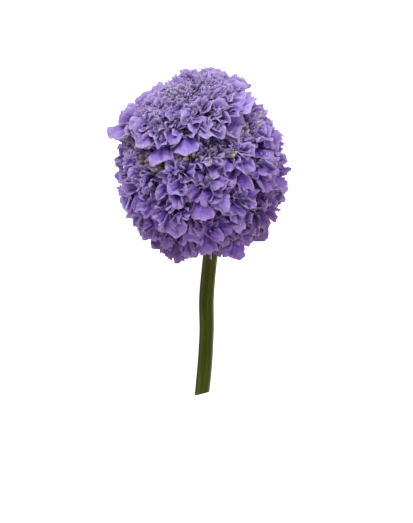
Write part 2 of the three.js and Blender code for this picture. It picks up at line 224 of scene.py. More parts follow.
def bend_clear(points):
    """Points near the crown keep a least distance from the axis, and points near the bracts keep a
    largest polar angle, reached along a tanh curve at the same distance from the head's middle."""
    aside = np.hypot(points[..., 0], points[..., 1])
    clear = at_least(aside, CROWN_ROOM["aside"], CROWN_ROOM["ease"]) / np.maximum(aside, 1e-6)
    spread = np.where(points[..., 2] > CROWN_ROOM["above"], clear, 1)
    radius = np.linalg.norm(points, axis=-1)
    polar = np.degrees(np.arccos(np.clip(points[..., 2] / radius, -1, 1)))
    past = (polar - BRACT_ROOM["from"]) / BRACT_ROOM["give"]
    eased = np.radians(BRACT_ROOM["from"] + BRACT_ROOM["give"] * np.tanh(past))
    low = past > 0
    spread = np.where(low, radius * np.sin(eased) / np.maximum(aside, 1e-6), spread)
    height = np.where(low, radius * np.cos(eased), points[..., 2])
    return stacked(points[..., 0] * spread, points[..., 1] * spread, height)


def jostled(points):
    """Points of the florets pushed to and fro by their neighbours: each coordinate is moved by sines of the
    other two, whose waves are unequal in length, and less so towards the receptacle. The far side of the
    cap leans over with the square of how far back it is."""
    clear = np.minimum(np.linalg.norm(points, axis=-1) - BALL["radius"],
                       np.linalg.norm(points - [0, 0, CAP["height"]], axis=-1) - CAP["radius"])
    free = np.clip(clear / JOSTLE_EASE, 0, 1)[..., None]
    calm = 1 - JOSTLE_CALM * np.clip((points[..., 2:] - CAP["height"]) / JOSTLE_EASE, 0, 1)
    for by, over in JOSTLE:
        x, y, z = (2 * np.pi * points[..., axis] / over for axis in range(3))
        push = stacked(np.sin(y + 0.7 * z + 1) + np.sin(1.7 * z - 0.6 * y),
                       np.sin(z + 0.6 * x + 2) + np.sin(1.6 * x - 0.5 * z + 4),
                       np.sin(x + 0.8 * y + 3) + np.sin(1.8 * y + 0.4 * x + 5))
        points = points + 0.5 * by * free * calm * push
    back = np.clip((from_head(points)[..., 1:2] - SWAY["from"]) / SWAY["over"], 0, 1)
    return points + SWAY["by"] * free * back**2 * HEAD_AXES[0]


def held_in(points, number, free):
    """Lobes that reach past the room that florets have, whose radius varies up the head and a little from
    lobe to lobe, drawn in towards the head's middle, more so towards their margins."""
    room = np.interp(points[..., 2], ROOM["at"], ROOM["radius"]) + ROOM["uneven"] * draw(number, "out")
    past = (np.linalg.norm(points, axis=-1) / room).max(axis=(2, 3), keepdims=True)
    return points * (1 + free * (1 / np.maximum(past, 1) - 1))[..., None]


def rest_on_table(points, touch=PETAL_TOUCH):
    """Points that would be under the table lifted to just above it, easing in."""
    return stacked(points[..., 0], points[..., 1], at_least(points[..., 2], touch["height"], touch["ease"]))


def through(points, steps):
    """A centripetal Catmull-Rom curve through the points, at equal steps along its length."""
    ends = np.vstack([2 * points[0] - points[1], points, 2 * points[-1] - points[-2]])
    gap = np.linalg.norm(np.diff(ends, axis=0), axis=1, keepdims=True) ** 0.5
    before, here, there, beyond = ends[:-3], ends[1:-2], ends[2:-1], ends[3:]
    first, middle, last = gap[:-2], gap[1:-1], gap[2:]
    straight = (there - here) / middle
    leave = middle * ((here - before) / first - (there - before) / (first + middle) + straight)
    arrive = middle * (straight - (beyond - here) / (middle + last) + (beyond - there) / last)
    t = np.linspace(0, 1, 40, endpoint=False)[None, :, None]
    here, there, leave, arrive = (value[:, None] for value in (here, there, leave, arrive))
    line = here + leave * t + (3 * (there - here) - 2 * leave - arrive) * t**2
    line = line + (2 * (here - there) + leave + arrive) * t**3
    line = np.vstack([line.reshape(-1, points.shape[1]), points[-1]])
    length = travelled_along(line)
    at = np.linspace(0, length[-1], steps)
    return stacked(*(np.interp(at, length, column) for column in line.T))


def travelled_along(line):
    """How far along a line each of its points is."""
    return np.concatenate([[0], np.cumsum(np.linalg.norm(np.diff(line, axis=0), axis=1))])


def repeated(faces, count, points_each):
    """The same faces for each of a number of copies, whose points follow one another."""
    return (faces[None] + points_each * np.arange(count)[:, None, None]).reshape(-1, faces.shape[1])


def grids(points, numbers, wrap=True):
    """One grid of points or several alike as (points, faces, numbers). Quads join the points row by row,
    and a row's last point to its first where it wraps. numbers are three for each point."""
    rows, columns = points.shape[-3:-1]
    row, column = np.indices((rows - 1, columns if wrap else columns - 1))
    here, after = row * columns + column, row * columns + (column + 1) % columns
    faces = stacked(here, after, after + columns, here + columns).reshape(-1, 4)
    points_each = rows * columns
    copies = points.size // (3 * points_each)
    numbers = np.broadcast_to(numbers, points.shape)
    return points.reshape(-1, 3), repeated(faces, copies, points_each), numbers.reshape(-1, 3)


def together(parts):
    """Several (points, faces, numbers) as one."""
    starts = np.cumsum([0] + [len(points) for points, _, _ in parts])
    return (np.concatenate([points for points, _, _ in parts]),
            np.concatenate([faces + start for (_, faces, _), start in zip(parts, starts)]),
            np.concatenate([numbers for _, _, numbers in parts]))


def add_object(name, data):
    """A new object in the scene."""
    thing = bpy.data.objects.new(name, data)
    bpy.context.scene.collection.objects.link(thing)
    return thing


def make_piece(name, points, faces, numbers, uv=None, closed=False, wall=None):
    """A mesh object from points in millimetres, quads, three numbers for each point that its colour reads,
    and a UV for each corner. closed merges the doubled points of poles. wall is the thickness of a sheet."""
    mesh = bpy.data.meshes.new(name)
    mesh.vertices.add(len(points))
    mesh.vertices.foreach_set("co", (points * MM).astype(np.float32).ravel())
    mesh.loops.add(faces.size)
    mesh.loops.foreach_set("vertex_index", faces.astype(np.int32).ravel())
    mesh.polygons.add(len(faces))
    mesh.polygons.foreach_set("loop_start", np.arange(0, faces.size, faces.shape[1], dtype=np.int32))
    if uv is not None:
        mesh.uv_layers.new(name="surface").uv.foreach_set("vector", uv.astype(np.float32).ravel())
    growth = mesh.attributes.new("growth", "FLOAT_VECTOR", "POINT")
    growth.data.foreach_set("vector", numbers.astype(np.float32).ravel())
    mesh.update(calc_edges=True)
    if closed:
        merged = bmesh.new()
        merged.from_mesh(mesh)
        bmesh.ops.remove_doubles(merged, verts=merged.verts, dist=1e-3 * MM)
        bmesh.ops.recalc_face_normals(merged, faces=merged.faces)
        merged.to_mesh(mesh)
        merged.free()
    mesh.shade_smooth()
    piece = add_object(name, mesh)
    if wall:
        shell = piece.modifiers.new("wall", "SOLIDIFY")
        shell.thickness = wall * MM
        shell.offset = 0
    return piece


def finish_piece(piece, material, replaced=None):
    """Gives a piece its material and slot, and lets it ride on the flower's one body."""
    piece.data.materials.append(material)
    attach(piece, "root")
    if replaced:
        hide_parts(replaced)


# ---- Florets ----
def place_florets(tier):
    """Feet, axes and sizes of a tier's florets. The cosine of the polar angle falls in equal steps and
    each floret stands a golden angle on from the last; out, down and across are its own directions. On
    the cap, out is bent up from the table."""
    count = tier["florets"]
    number = tier["first"] + np.arange(count)
    share = (np.arange(count) + 0.5) / count
    cosine = between(np.cos(np.radians(tier["arc"])), share)
    polar = np.arccos(cosine) + np.radians(UNEVEN["polar"] * draw(number, "polar"))
    azimuth = np.radians(GOLDEN_ANGLE * number + UNEVEN["azimuth"] * draw(number, "azimuth"))
    size = 1 + UNEVEN["size"] * draw(number, "size")
    lean = polar + np.radians(tier["lean"])
    lift = CAP_LIFT if tier["on"] is CAP else 0
    out = unit(direction(lean, azimuth) + lift * HEAD_AXES[2])
    across = unit(np.cross(out, direction(lean + np.pi / 2, azimuth)))
    return {
        "number": number,
        "foot": direction(polar, azimuth) * tier["on"]["radius"] + np.array([0, 0, tier["on"]["height"]]),
        "out": out,
        "down": np.cross(across, out),
        "across": across,
        "roll": np.radians(UNEVEN["roll"] * draw(number, "roll")),
        "reach": size * between(tier["reach"], share),
        "rise": size * between(tier["rise"], share),
        "age_and_shade": between(tier["age_and_shade"], share) + UNEVEN["age_and_shade"] * draw(number, "age_and_shade"),
        **{key: np.full(count, float(tier[key])) for key in PETALS},
    }


def join_florets(groups):
    """Several tiers' florets as one."""
    return {key: np.concatenate([group[key] for group in groups]) for key in groups[0]}


def inner_whorl(florets):
    """The florets again, smaller, more upright, more cupped and half a lobe further round."""
    return {**florets, "number": florets["number"] + INNER["first"],
            "roll": florets["roll"] + np.pi / LOBES,
            "reach": florets["reach"] * INNER["reach"], "rise": florets["rise"] * INNER["rise"],
            "cup": florets["cup"] + INNER["cup"], "curl": florets["curl"] + INNER["curl"]}


def corolla_line(up, span, rise):
    """Distance from the axis and height at a share up the corolla, and the unit normal of that line.
    It is a parabola that leaves the foot nearly upright and bends outwards to the tip."""
    bend, tip = 2 * up * (1 - up), up * up
    aside = (bend * FLARE["aside"] + tip) * span
    height = (bend * FLARE["height"] + tip) * rise - (1 - up) ** 2 * ROOT_SINK
    run = (2 * (1 - 2 * up) * FLARE["aside"] + 2 * up) * span
    climb = (2 * (1 - 2 * up) * FLARE["height"] + 2 * up) * rise + 2 * (1 - up) * ROOT_SINK
    length = np.hypot(run, climb)
    return aside, height, -climb / length, run / length


def corolla_points(florets, lobe, side, blade, tube):
    """Points of the corollas. side runs from -1 to 1 over a lobe and blade from 0 at the cuts to 1 at the
    margin, a fan whose outline is a superellipse, uneven by two sines. tube is the share up from the foot
    where there is no blade. Each lobe has its own length and slope, twists about its length, lifts at its
    sides and tip, and waves along its normal by three sines, all more so towards the margin and with the
    root of the floret's reach."""
    f = {key: value[:, None, None, None] for key, value in florets.items() if value.ndim == 1}
    number = f["number"] * LOBES + lobe
    phase, swell = np.pi * draw(number, "wave"), np.pi * draw(number, "swell")
    (deep, few), (shallow, many) = SCALLOPS
    scallops = (deep * np.sin(few * side + 5 * phase)
                + shallow * np.sin((many + 2 * draw(number, "tooth")) * side + swell))
    outline = (1 - LOBE_SIDE * np.abs(side) ** f["round"]) ** 0.5 * (1 + scallops * blade**3)
    up = np.where(blade > 0, SINUS + (1 - SINUS) * blade * outline, tube)
    free = blade * blade * (3 - 2 * blade)
    step = 2 * np.pi / LOBES
    width = 1 + (f["width"] * (1 + UNEVEN["width"] * draw(number, "size")) - 1) * free
    middle = f["roll"] + step * lobe
    turn = f["roll"] + step * (lobe + 0.5 * side * width) + UNEVEN["turn"] * draw(number, "turn") * free
    span = f["reach"] * (1 + f["skew"] * np.cos(between((turn, middle), free)))
    span = span * (1 + UNEVEN["reach"] * f["ruffle"] * draw(number, "reach") * free)
    rise = f["rise"] * (1 + UNEVEN["rise"] * f["ruffle"] * draw(number, "rise") * free)
    aside, height, normal_aside, normal_out = corolla_line(up, span, rise)
    cup = f["cup"] + f["cups"] * draw(number, "cup")
    curl = f["curl"] + f["curls"] * draw(number, "curl")
    (high, long), (middling, short), (low, shortest) = WAVES
    waves = (high * np.sin(long * side + phase) + middling * np.sin(short * side + swell + 2 * blade)
             + low * np.sin(shortest * side + phase + swell - 3 * blade) * blade)
    lift = (cup * side**2 + f["twist"] * draw(number, "twist") * side + f["ruffle"] * waves) * free
    lift = (lift + curl * blade**2.5) * (f["reach"] / FULL_REACH) ** 0.5
    aside = (aside + normal_aside * lift)[..., None]
    height = (height + normal_out * lift)[..., None]
    turn = turn[..., None]
    foot, out, down, across = (
        florets[key][:, None, None, None, :] for key in ("foot", "out", "down", "across"))
    points = foot + out * height + down * aside * np.cos(turn) + across * aside * np.sin(turn)
    return rest_on_table(from_head(bend_clear(held_in(jostled(points), number, free))))


def corolla_faces(detail):
    """Quads of one corolla, and the UV of their corners. The tube is a ring of columns all the way round;
    each lobe's blade starts from its share of the tube's top ring. U counts lobes, V runs up the corolla."""
    columns, tube_rows, blade_rows = detail["across"], detail["tube"], detail["blade"]
    around = LOBES * columns
    start = (tube_rows + 1) * around
    corners = np.array([(0, 0), (0, 1), (1, 1), (1, 0)])
    row, column = np.indices((tube_rows, around))[..., None] + corners.T[:, None, None]
    tube = row * around + column % around
    tube_uv = stacked(column / columns, SINUS * row / tube_rows)
    lobe, row, column = np.indices((LOBES, blade_rows, columns))[..., None]
    row, column = row + corners[:, 0], column + corners[:, 1]
    rim = tube_rows * around + (lobe * columns + column) % around
    blade = np.where(row == 0, rim, start + (lobe * blade_rows + row - 1) * (columns + 1) + column)
    blade_uv = stacked(lobe + column / columns, SINUS + (1 - SINUS) * row / blade_rows)
    return (np.concatenate([tube.reshape(-1, 4), blade.reshape(-1, 4)]),
            np.concatenate([tube_uv.reshape(-1, 4, 2), blade_uv.reshape(-1, 4, 2)]))


def make_florets(name, florets, detail):
    """Corollas as one thin sheet: tube rings first, then the blades, with what the colour reads: the share
    up the petal, the floret's age with its painted shade, and the lobe's own shade. Columns crowd along a
    sine towards the lobes' sides, where their outline is steep."""
    count, columns = len(florets["number"]), detail["across"]
    column = np.arange(LOBES * columns)
    side = np.linspace(-1, 1, columns + 1)
    side = 0.5 * side + 0.5 * np.sin(0.5 * np.pi * side)
    tube = TUBE_FOOT + (SINUS - TUBE_FOOT) * np.arange(detail["tube"] + 1) / detail["tube"]
    tube_points = corolla_points(
        florets, column // columns, side[column % columns], np.zeros((1, 1, len(tube), 1)),
        tube[None, None, :, None])
    blade = (np.arange(1, detail["blade"] + 1) / detail["blade"])[None, None, :, None]
    blade_points = corolla_points(florets, np.arange(LOBES)[None, :, None, None], side, blade, SINUS)
    points = np.concatenate([tube_points.reshape(count, -1, 3), blade_points.reshape(count, -1, 3)], 1)
    along = np.concatenate([
        np.repeat(tube, LOBES * columns),
        np.broadcast_to(SINUS + (1 - SINUS) * blade, (1, LOBES, detail["blade"], columns + 1)).ravel()])
    lobe = np.concatenate([np.tile(column // columns, len(tube)),
                           np.repeat(np.arange(LOBES), detail["blade"] * (columns + 1))])
    shade = draw(florets["number"][:, None] * LOBES + lobe, "shade")
    numbers = stacked(along, florets["age_and_shade"][:, None], shade).reshape(-1, 3)
    faces, uv = corolla_faces(detail)
    faces = repeated(faces, count, points.shape[1])
    return make_piece(name, points.reshape(-1, 3), faces, numbers, uv=np.tile(uv, (count, 1, 1)),
                      wall=PETAL_WALL)


def stamen_parts(florets):
    """Filaments and anthers. A filament leaves the throat and bends outwards with the square of the way
    along it, three-sided and tapering; its anther is an ellipsoid lying across its end."""
    stamen = np.arange(STAMENS["each"])
    number = florets["number"][:, None] * STAMENS["each"] + stamen
    turn = florets["roll"][:, None] + (2 * stamen + 1) * np.pi / LOBES
    turn = turn + UNEVEN["turn"] * draw(number, "turn")
    foot, out, down, across = (florets[key][:, None, None, :] for key in ("foot", "out", "down", "across"))
    sideways = down * np.cos(turn)[..., None, None] + across * np.sin(turn)[..., None, None]
    t = np.linspace(0, 1, 6)
    top = STAMENS["over"] * florets["rise"][:, None] * (1 + STAMENS["uneven"] * draw(number, "rise"))
    line = (foot + out * (top[..., None] * t)[..., None]
            + sideways * (STAMENS["root"] + STAMENS["spread"] * t**2)[:, None])
    ring = np.radians([0, 120, 240])[:, None]
    around = down[..., None, :] * np.cos(ring) + across[..., None, :] * np.sin(ring)
    filament = line[..., None, :] + around * STAMENS["thick"] * (1.2 - 0.5 * t)[:, None, None]
    long, wide = STAMENS["anther"]
    part = direction(np.linspace(0, np.pi, 6)[:, None], circle(6)) * [wide, wide, long]
    anther = (line[:, :, -1:, None] + sideways[..., None, :] * part[..., 2:]
              + np.cross(out, sideways)[..., None, :] * part[..., :1] + out[..., None, :] * part[..., 1:2])
    return [grids(rest_on_table(from_head(bend_clear(shape))), [1, is_anther, 0])
            for shape, is_anther in ((filament, 0), (anther, 1))]


# ---- Buds ----
def swept(foot, out, length, width, up, turn, radius):
    """Points round each of several directions out: at each share up of its length, and at each turn round
    it, radius times its width aside."""
    across = unit(np.cross(out, ASKEW))
    beside = np.cross(out, across)
    foot, out, across, beside = (value[:, None, None, :] for value in (foot, out, across, beside))
    length, width = length[:, None, None, None], width[:, None, None, None]
    return (foot + out * length * up[..., None] + across * width * (radius * np.cos(turn))[..., None]
            + beside * width * (radius * np.sin(turn))[..., None])


def bud_parts(foot, out, length, width, shade, club):
    """Closed florets. A bud's radius follows a sine of a power of the way up, higher for a bud on a longer
    neck, with five ribs that deepen towards a puckered tip."""
    up = np.linspace(0, 1, BUD["rows"])[:, None] ** (1 / club)
    turn = circle(BUD["columns"])
    ribs = 1 + BUD["rib"] * np.cos(BUD["ribs"] * turn) * up
    radius = np.sin(np.pi * up**(BUD["belly"] * club)) ** BUD["full"] * ribs
    radius[-1] = 0
    return grids(from_head(swept(foot, out, length, width, up, turn, radius)),
                 stacked(up, shade[:, None, None], 0))


def crown_places(growth):
    """Numbers and places of one kind of growth on the crown's dome, on an equal-area spiral, and the
    directions there, leaning outwards."""
    count = growth["count"]
    number = growth["first"] + np.arange(count)
    aside = CROWN["filled"] * CROWN["radius"] * np.sqrt((np.arange(count) + 0.5) / count)
    azimuth = np.radians(GOLDEN_ANGLE * number)
    height = CROWN_SEAT + SEAT_GAP + CROWN["height"] - CROWN["droop"] * aside**2 - CROWN["sunk"]
    foot = stacked(aside * np.cos(azimuth), aside * np.sin(azimuth), height)
    tip, swing = CROWN["sway"]
    lean = CROWN["lean"] * aside + tip * draw(number, "polar")
    return number, foot, direction(lean, azimuth + swing * draw(number, "azimuth"))


def lathe_part(profile, columns, rough=0.0):
    """A surface of revolution round the head's axis from (radius, height) pairs, with low bumps."""
    turn, radius, height = circle(columns), profile[:, :1], profile[:, 1:]
    bumps = np.sin(9 * turn + 0.9 * height) * np.sin(0.8 * height + 2) * np.minimum(radius / 8, 1)
    radius = radius * (1 + rough * bumps)
    share = np.linspace(0, 1, len(profile))[:, None]
    return grids(from_head(stacked(radius * np.cos(turn), radius * np.sin(turn), height)),
                 stacked(share, 0, 0))


def dome_part():
    """The crown's dome: a profile through its foot, rim, shoulder and top, turned round the axis. It has
    the dark colour of the buds' feet all over."""
    radius, height, base = CROWN["radius"], CROWN["height"], CROWN_SEAT + SEAT_GAP
    profile = through(np.array([[0, base], [CROWN["foot"], base], [radius, base + 0.7 * height],
                                [0.7 * radius, base + 0.93 * height], [0, base + height]]), 24)
    profile[[0, -1], 0] = 0
    points, faces, numbers = lathe_part(profile, 40)
    return points, faces, 0 * numbers


def bristle_parts():
    """Stiff dark bristles that stand among the crown's buds: four-sided spikes."""
    number, foot, out = crown_places(BRISTLES)
    length = BRISTLES["length"] + BRISTLES["uneven"] * draw(number, "size")
    width = np.full(len(number), BRISTLES["width"])
    up, turn = np.array([0, 0.6, 1])[:, None], np.radians([0, 90, 180, 270])
    return grids(from_head(swept(foot, out, length, width, up, turn, 1 - up)), [1, 0, 1])


def make_crown():
    """The dome, its crowd of closed florets and the bristles between them."""
    number, foot, out = crown_places(CROWN_BUDS)
    wider, longer = CROWN_BUDS["uneven"]
    width = CROWN_BUDS["width"] * (1 + wider * draw(number, "size"))
    length = CROWN_BUDS["length"] * (1 + longer * draw(number, "rise"))
    buds = bud_parts(foot, out, length, width, draw(number, "shade"), club=1)
    return make_piece("crown_florets", *together([dome_part(), buds, bristle_parts()]), closed=True)


def make_waist_buds():
    """Tufts of closed, still greenish florets on long necks, in the waist between the cap and the skirt."""
    tuft = WAIST_BUDS["first_tuft"] + np.repeat(np.arange(WAIST_BUDS["tufts"]), WAIST_BUDS["each"])
    number = WAIST_BUDS["first"] + np.arange(len(tuft))
    polar = np.radians(between(WAIST_BUDS["polar"], 0.5 + 0.5 * draw(tuft, "polar")))
    azimuth = np.radians(GOLDEN_ANGLE * tuft)
    (up, round_it), (lean, swing) = WAIST_BUDS["stand"], WAIST_BUDS["splay"]
    foot = direction(polar + up * draw(number, "polar"), azimuth + round_it * draw(number, "azimuth"))
    out = direction(polar + lean * draw(number, "turn"), azimuth + swing * draw(number, "roll"))
    wider, longer = WAIST_BUDS["uneven"]
    width = WAIST_BUDS["width"] * (1 + wider * draw(number, "size"))
    length = WAIST_BUDS["length"] * (1 + longer * draw(tuft, "rise") + longer * draw(number, "rise"))
    parts = bud_parts(foot * WAIST_BUDS["out"], out, length, width, draw(number, "shade"), club=2)
    return make_piece("waist_buds", *parts, closed=True)


def make_receptacle():
    """The fleshy hub that the florets grow from: a ball and a smaller one on its shoulders, one profile."""
    arcs = []
    for ball in (BALL, CAP):
        polar = np.radians(np.linspace(*ball["arc"], ball["rows"]))
        arcs.append(stacked(ball["radius"] * np.sin(polar), ball["radius"] * np.cos(polar) + ball["height"]))
    profile = np.vstack([[[0, BRACT_SEAT]], *arcs, [[0, CROWN_SEAT]]])
    return make_piece("receptacle", *lathe_part(profile, 96, rough=0.02), closed=True)


# ---- Bracts ----
def bract_part(row):
    """Leafy bracts, one grid each. Width follows a parabola of the way along, widest before the middle; a
    bract curves outwards, folds up along its middle and waves a little at its edges."""
    index = np.arange(row["count"])[:, None, None]
    along, side = np.linspace(0, 1, 12)[:, None], np.linspace(-1, 1, 7)
    azimuth = 2 * np.pi * index / row["count"] + np.radians(row["from"])
    number = row["first"] + index
    longer, curlier = BRACT["uneven"]
    length = row["length"] * (1 + longer * draw(number, "size"))
    foot, swell = BRACT["foot"], BRACT["swell"]
    half = np.maximum(foot + swell * along - (foot + swell) * along**2, 0) * row["width"]
    bend = np.radians(row["spread"] + BRACT["curl"] * along + curlier * draw(number, "curl") * along)
    aside = INVOLUCRE["radius"] - BRACT["inset"] + length * along * np.sin(bend)
    waves = BRACT["wave"] * np.sin(9 * along + 3 * draw(number, "wave")) * side * along
    height = BRACT_SEAT - SEAT_GAP - BRACT["under"] - length * along * np.cos(bend)
    height = height + BRACT["fold"] * half * np.abs(side) + waves
    lateral = side * half
    points = stacked(aside * np.cos(azimuth) - lateral * np.sin(azimuth),
                     aside * np.sin(azimuth) + lateral * np.cos(azimuth), height)
    return grids(from_head(points), stacked(along, 1 - np.abs(side), draw(number, "shade")), wrap=False)


def make_bracts():
    """Both rows of bracts."""
    parts = together([bract_part(row) for row in BRACT_ROWS])
    return make_piece("bract_leaves", *parts, closed=True, wall=BRACT["wall"])


def make_bract_disc():
    """The green disc that the bracts and the head sit on: a rounded profile turned round the axis."""
    radius, height, top = INVOLUCRE["radius"], INVOLUCRE["height"], BRACT_SEAT - SEAT_GAP
    profile = through(np.array([[0, top - height], [INVOLUCRE["neck"], top - height],
                                [0.8 * radius, top - 0.52 * height], [radius, top - 0.25 * height],
                                [radius - 0.6, top], [0, top]]), 30)
    profile[[0, -1], 0] = 0
    return make_piece("bract_disc", *lathe_part(profile, 48), closed=True)


# ---- Stalk ----
def make_stalk():
    """A ribbed round section carried along the stalk's line. Its radius dips by a cosine between the ribs
    and swells into the bracts. At the cut the last rows slide along the stalk on to the slanted plane, and
    rings of falling radius close it, sunk a little at the pith."""
    top = BRACT_SEAT - INVOLUCRE["height"] - 2 * SEAT_GAP
    in_head = from_head(np.array([[0, 0, top + 1.5], [0, 0, top - 2.5]]))
    line = through(np.vstack([in_head, STALK_BENDS]), 110)
    travelled = travelled_along(line)[:, None]
    along = unit(np.gradient(line, axis=0))
    up = unit(np.cross(along, [1.0, 0, 0]))
    beside = np.cross(up, along)
    turn = circle(72)
    ribs = 1 - STALK_GROOVE * (0.5 - 0.5 * np.cos(STALK_RIBS * turn))
    swell = STALK_SWELL["by"] * np.exp(-travelled / STALK_SWELL["over"])
    radius = STALK_RADIUS * ribs * (1 + swell + 0.012 * np.sin(travelled / 5 + 2 * turn))

    rim = len(line)  # the row at the cut's edge, as the first row is the pole at the other end
    radius = np.vstack([0 * radius[:1], radius, radius[-1:] * CUT_RINGS[:, :1]])
    keep = np.concatenate([[0], np.arange(rim), np.full(len(CUT_RINGS), rim - 1)])
    share, sunk, pith = (np.concatenate([np.full(rim + 1, outer), ring])[:, None]
                         for outer, ring in zip((1, 0, 0), CUT_RINGS.T))
    centre, along, up, beside = (value[keep][:, None] for value in (line, along, up, beside))
    points = centre + beside * (radius * np.cos(turn))[..., None] + up * (radius * np.sin(turn))[..., None]
    slant = turned("Z", CUT_SLANT)
    facing, corner = slant @ [0, -1, 0], STALK_BENDS[-1] + slant @ [0, CUT_BACK, 0]
    past = (points - corner) @ facing / (along[-1] @ facing)
    near = np.clip(1 - (travelled[-1] - travelled[keep]) / CUT_EASE, 0, 1) ** 2
    on_cut = np.arange(len(keep))[:, None] > rim
    slide = np.where(on_cut, between((past[-1], past[rim]), share), near * past[rim])
    points = rest_on_table(points - along * (slide + sunk)[..., None], STALK_TOUCH)
    numbers = stacked(travelled[keep] / travelled[-1], turn / (2 * np.pi), pith)
    return make_piece("stalk_skin", *grids(points, numbers), closed=True)


# ---- Materials ----
def colour(hexadecimal):
    """An sRGB hex value as linear red, green, blue and full alpha."""
    channels = np.array([int(hexadecimal[i:i + 2], 16) / 255 for i in (1, 3, 5)])
    linear = np.where(channels <= 0.04045, channels / 12.92, ((channels + 0.055) / 1.055) ** 2.4)
    return (*linear, 1.0)


def add(tree, kind, inputs=None, **settings):
    """Adds a shader node: settings are its own properties, and inputs are values, sockets to link, or nodes
    to link by their first output. A colour ramp's stops are (position, hex colour) pairs."""
    node = tree.nodes.new("ShaderNode" + kind)
    stops = settings.pop("stops", ())
    for index, (position, hexadecimal) in enumerate(stops):
        elements = node.color_ramp.elements
        element = elements[index] if index < 2 else elements.new(position)
        element.position = position
        element.color = colour(hexadecimal)
    for name, value in settings.items():
        setattr(node, name, value)
    for name, value in (inputs or {}).items():
        if isinstance(value, bpy.types.Node):
            value = value.outputs[0]
        if isinstance(value, bpy.types.NodeSocket):
            tree.links.new(value, node.inputs[name])
        else:
            node.inputs[name].default_value = value
    return node


def new_material(name):
    """A node material's tree with only a look-up of the piece's growth numbers and its coordinates."""
    material = bpy.data.materials.new(name)
    material.use_nodes = True
    tree = material.node_tree
    tree.nodes.clear()
    growth = add(tree, "Attribute", attribute_name="growth")
    numbers = add(tree, "SeparateXYZ", {0: growth.outputs["Vector"]})
    return material, tree, numbers.outputs, add(tree, "TexCoord").outputs["Object"]


def mottled(tree, base, shade, own, noise, patch, within=(0.3, 0.7), hue=0.5):
    """A base colour made lighter and darker: from one lobe, bud or leaf to the next over the range own, by
    its shade, and from patch to patch over the range patch, by a noise that is mostly within two values."""
    whole = add(tree, "MapRange", {"Value": shade, "From Min": -1.0, "To Min": own[0], "To Max": own[1]})
    spot = add(tree, "MapRange", {"Value": noise, "From Min": within[0], "From Max": within[1],
                                  "To Min": patch[0], "To Max": patch[1]})
    value = add(tree, "Math", {0: whole, 1: spot}, operation="MULTIPLY")
    return add(tree, "HueSaturation", {"Color": base, "Value": value, "Hue": hue})


def petal_material():
    """Fresh scabiosa petal: a thin, soft, slightly translucent blade, violet-blue, deeper in the throat and
    paler at its margin, with fine veins that fan out along it. The deeper throat is partly painted shade and
    the paler margin partly a painted highlight. Older florets are duller and more mauve, and the same tint
    also darkens florets low on the head and deep among others as painted shade."""
    material, tree, (along, age_and_shade, shade), where = new_material("scabiosa_petal")
    uv = add(tree, "UVMap", uv_map="surface")
    # Darker towards the throat and paler at the margin: partly the petal's own colour, partly painted shade
    # in the throat and a painted highlight along the margin.
    blade = add(tree, "ValToRGB", {0: along}, stops=[
        (0.15, "#2d0272"), (0.42, "#4f229f"), (0.68, "#6e51b1"), (0.88, "#8371b0"), (1.0, "#988fb2")])
    # Duller, darker and more mauve as the value rises: the fading of older florets, and painted shade on the
    # head's lower side and in the deep petals.
    fading_and_shade_tint = add(tree, "ValToRGB", {0: age_and_shade}, stops=[
        (0.0, "#fbf6f9"), (0.45, "#ecd9ee"), (0.65, "#d4b8d5"), (0.85, "#a884a4"), (1.0, "#8c6076")])
    aged_and_shaded = add(tree, "Mix", {0: 1.0, 6: blade, 7: fading_and_shade_tint}, data_type="RGBA", blend_type="MULTIPLY")
    # The bands of a wave texture are a tenth of pi apart at a scale of one.
    wave = add(tree, "TexWave", {"Vector": uv, "Scale": VEINS * np.pi / 10, "Distortion": 1.2, "Detail": 1.0,
                                 "Detail Scale": 0.4}, bands_direction="X")
    veins = wave.outputs["Fac"]
    vein_share = add(tree, "Math", {0: veins, 1: 0.14}, operation="MULTIPLY")
    veined = add(tree, "Mix", {0: vein_share, 6: aged_and_shaded.outputs[2], 7: colour("#4d3690")}, data_type="RGBA")
    # Mottling 1.5 mm across, where the petal holds more or less pigment.
    pigment = add(tree, "TexNoise", {"Vector": where, "Scale": 1 / (1.5 * MM), "Detail": 3.0})
    warmer = add(tree, "MapRange", {"Value": shade, "From Min": -1.0, "To Min": 0.508, "To Max": 0.494})
    tinted = mottled(tree, veined.outputs[2], shade, (0.84, 1.12), pigment, (0.8, 1.18), hue=warmer)
    ribs = add(tree, "Bump", {"Height": veins, "Strength": 0.25, "Distance": 0.1 * MM})
    # Crepe-like creases 1.8 mm across, as on a petal that has unfolded from a tight bud.
    crepe = add(tree, "TexNoise", {"Vector": where, "Scale": 1 / (1.8 * MM), "Detail": 2.0})
    creased = add(tree, "Bump", {"Height": crepe, "Strength": 0.5, "Distance": 1.8 * MM, "Normal": ribs})
    # Pleats about 2 mm wide that run up each lobe, four to its width.
    stretched = add(tree, "Mapping", {"Vector": uv, "Scale": Vector((4, 2.5, 1))})
    pleats = add(tree, "TexNoise", {"Vector": stretched, "Scale": 1.0, "Detail": 1.0})
    pleated = add(tree, "Bump", {"Height": pleats, "Strength": 0.5, "Distance": 3.2 * MM, "Normal": creased})
    shader = add(tree, "BsdfPrincipled", {
        "Base Color": tinted, "Roughness": 0.6, "IOR": 1.4, "Specular IOR Level": 0.25,
        "Subsurface Weight": 0.45, "Subsurface Radius": Vector((1, 0.8, 1.1)), "Subsurface Scale": 0.6 * MM,
        "Sheen Weight": 0.06, "Sheen Roughness": 0.5, "Normal": pleated})
    add(tree, "OutputMaterial", {"Surface": shader})
    return material


